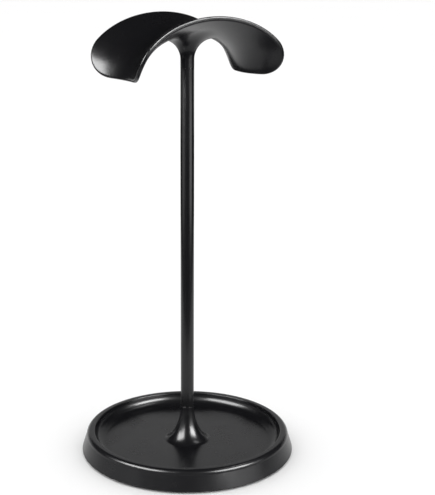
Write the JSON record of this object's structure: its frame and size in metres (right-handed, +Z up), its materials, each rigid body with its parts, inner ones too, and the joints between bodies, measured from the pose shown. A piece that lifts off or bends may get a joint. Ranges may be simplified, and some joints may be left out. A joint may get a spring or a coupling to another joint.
{
  "type": "headphone stand",
  "caption": "Headphone stand: round weighted base with a raised rim and shallow dish, slim tube post with flared ends, and an arched, channelled headrest on a flared neck.",
  "frame": {"origin": "centre of the base, on the plane that the undersides of the rubber feet stand on", "axes": "+Z up along the post's axis; X along the headrest's arch, the way a headband lies over it; Y across the headband's channel"},
  "size_m": [0.128, 0.128, 0.2614],
  "materials": {
    "moulded_plastic": "satin black moulded plastic with a fine grain",
    "tube_coating": "semi-gloss black coating on a steel tube",
    "ballast_coating": "black electro-coated steel plate",
    "insert_brass": "turned",
    "zinc_steel": "zinc plated",
    "foot_rubber": "matte moulded rubber"
  },
  "bodies": {
    "root": {"headrest": "moulded_plastic", "base_tray": "moulded_plastic", "post_tube": "tube_coating", "ballast_plate": "ballast_coating", "neck_insert": "insert_brass", "top_stud": "zinc_steel", "post_top_plug": "zinc_steel", "post_bottom_plug": "zinc_steel", "centre_bolt": "zinc_steel", "flat_washer": "zinc_steel", "lock_washer": "zinc_steel", "plate_screw_1": "zinc_steel", "plate_screw_2": "zinc_steel", "plate_screw_3": "zinc_steel", "plate_screw_4": "zinc_steel", "foot_1": "foot_rubber", "foot_2": "foot_rubber", "foot_3": "foot_rubber", "foot_4": "foot_rubber"}
  },
  "joints": []
}
